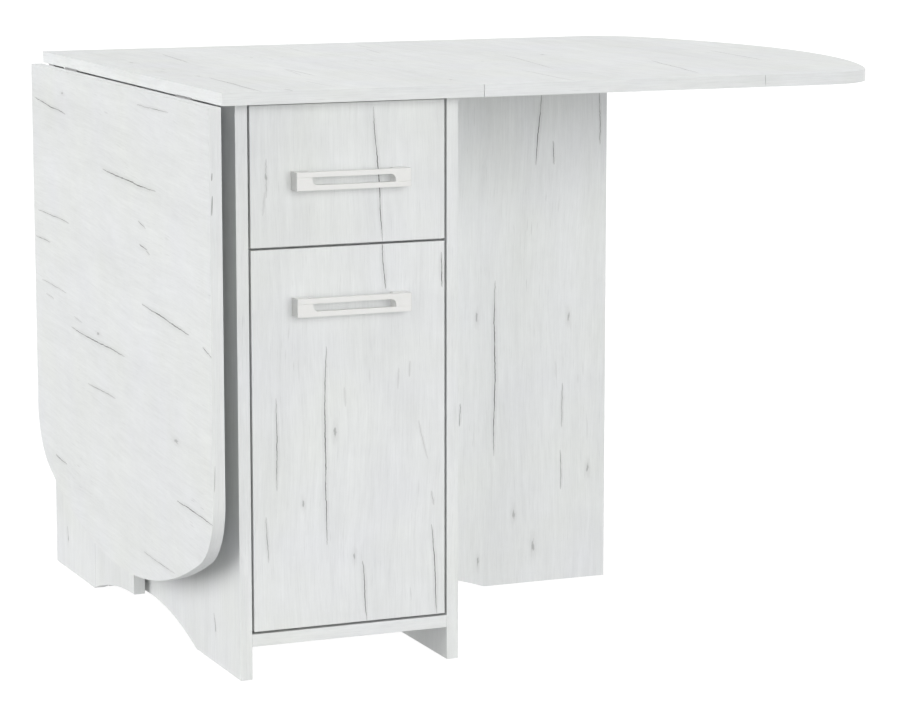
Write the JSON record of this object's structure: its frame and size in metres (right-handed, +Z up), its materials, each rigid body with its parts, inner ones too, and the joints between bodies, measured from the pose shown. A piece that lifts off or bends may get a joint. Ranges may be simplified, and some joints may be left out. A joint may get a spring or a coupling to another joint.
{
  "type": "gateleg table",
  "caption": "Drop-leaf dining table with swinging gate legs, a narrow cabinet with a drawer and a door, and rounded leaves, one raised and one hanging.",
  "frame": {"origin": "on the floor, in the middle of the table's box as it stands with one leaf up and one hanging", "axes": "+X from the hanging leaf to the raised leaf, +Y from the drawer front to the back, +Z up"},
  "size_m": [1.0282, 0.795, 0.75],
  "materials": {
    "white_oak_board": "matt white oak laminate",
    "white_hardboard": "smooth white lacquer",
    "cream_handle": "satin cream",
    "hinge_steel": "nickel plated",
    "runner_steel": "white powder coat",
    "roller_plastic": "smooth nylon",
    "pin_steel": "zinc plated"
  },
  "bodies": {
    "cabinet": {"table_top": "white_oak_board", "right_leaf": "white_oak_board", "left_gate": "white_oak_board", "left_side_panel": "white_oak_board", "right_side_panel": "white_oak_board", "bottom_panel": "white_oak_board", "divider_panel": "white_oak_board", "top_front_rail": "white_oak_board", "top_rear_rail": "white_oak_board", "inner_shelf": "white_oak_board", "back_panel": "white_hardboard", "left_leaf_hinge_top_plates": "hinge_steel", "right_leaf_hinge_top_plates": "hinge_steel", "right_leaf_hinge_leaf_plates": "hinge_steel", "left_gate_hinge_side_plates": "hinge_steel", "left_gate_hinge_gate_plates": "hinge_steel", "right_gate_hinge_side_plates": "hinge_steel", "door_hinge_arms": "hinge_steel", "door_hinge_plates": "hinge_steel", "cabinet_runners": "runner_steel", "front_rollers": "roller_plastic", "left_gate_pad": "roller_plastic", "shelf_pins": "pin_steel"},
    "left_leaf": {"left_leaf": "white_oak_board", "left_leaf_hinge_leaf_plates": "hinge_steel"},
    "right_gate": {"right_gate": "white_oak_board", "right_gate_pad": "roller_plastic", "right_gate_hinge_gate_plates": "hinge_steel"},
    "drawer": {"drawer_front": "white_oak_board", "drawer_left_side": "white_oak_board", "drawer_right_side": "white_oak_board", "drawer_back": "white_oak_board", "drawer_bottom": "white_hardboard", "drawer_handle": "cream_handle", "drawer_runners": "runner_steel", "rear_rollers": "roller_plastic"},
    "door": {"door": "white_oak_board", "door_handle": "cream_handle", "door_hinge_cups": "hinge_steel"}
  },
  "joints": [
    {"name": "left_leaf_lift", "type": "hinge", "parent": "cabinet", "child": "left_leaf", "pos_m": [-0.49685, 0, 0.7328], "axis": [0, 1, 0], "range_deg": [0, 90]},
    {"name": "right_gate_fold", "type": "hinge", "parent": "cabinet", "child": "right_gate", "pos_m": [-0.16825, 0.005, 0.364], "axis": [0, 0, 1], "range_deg": [0, 90]},
    {"name": "drawer_slide", "type": "slide", "parent": "cabinet", "child": "drawer", "axis": [0, -1, 0], "range_m": [0, 0.43]},
    {"name": "door_swing", "type": "hinge", "parent": "cabinet", "child": "door", "pos_m": [-0.18905, -0.3725, 0.306], "axis": [0, 0, 1], "range_deg": [0, 95]}
  ]
}
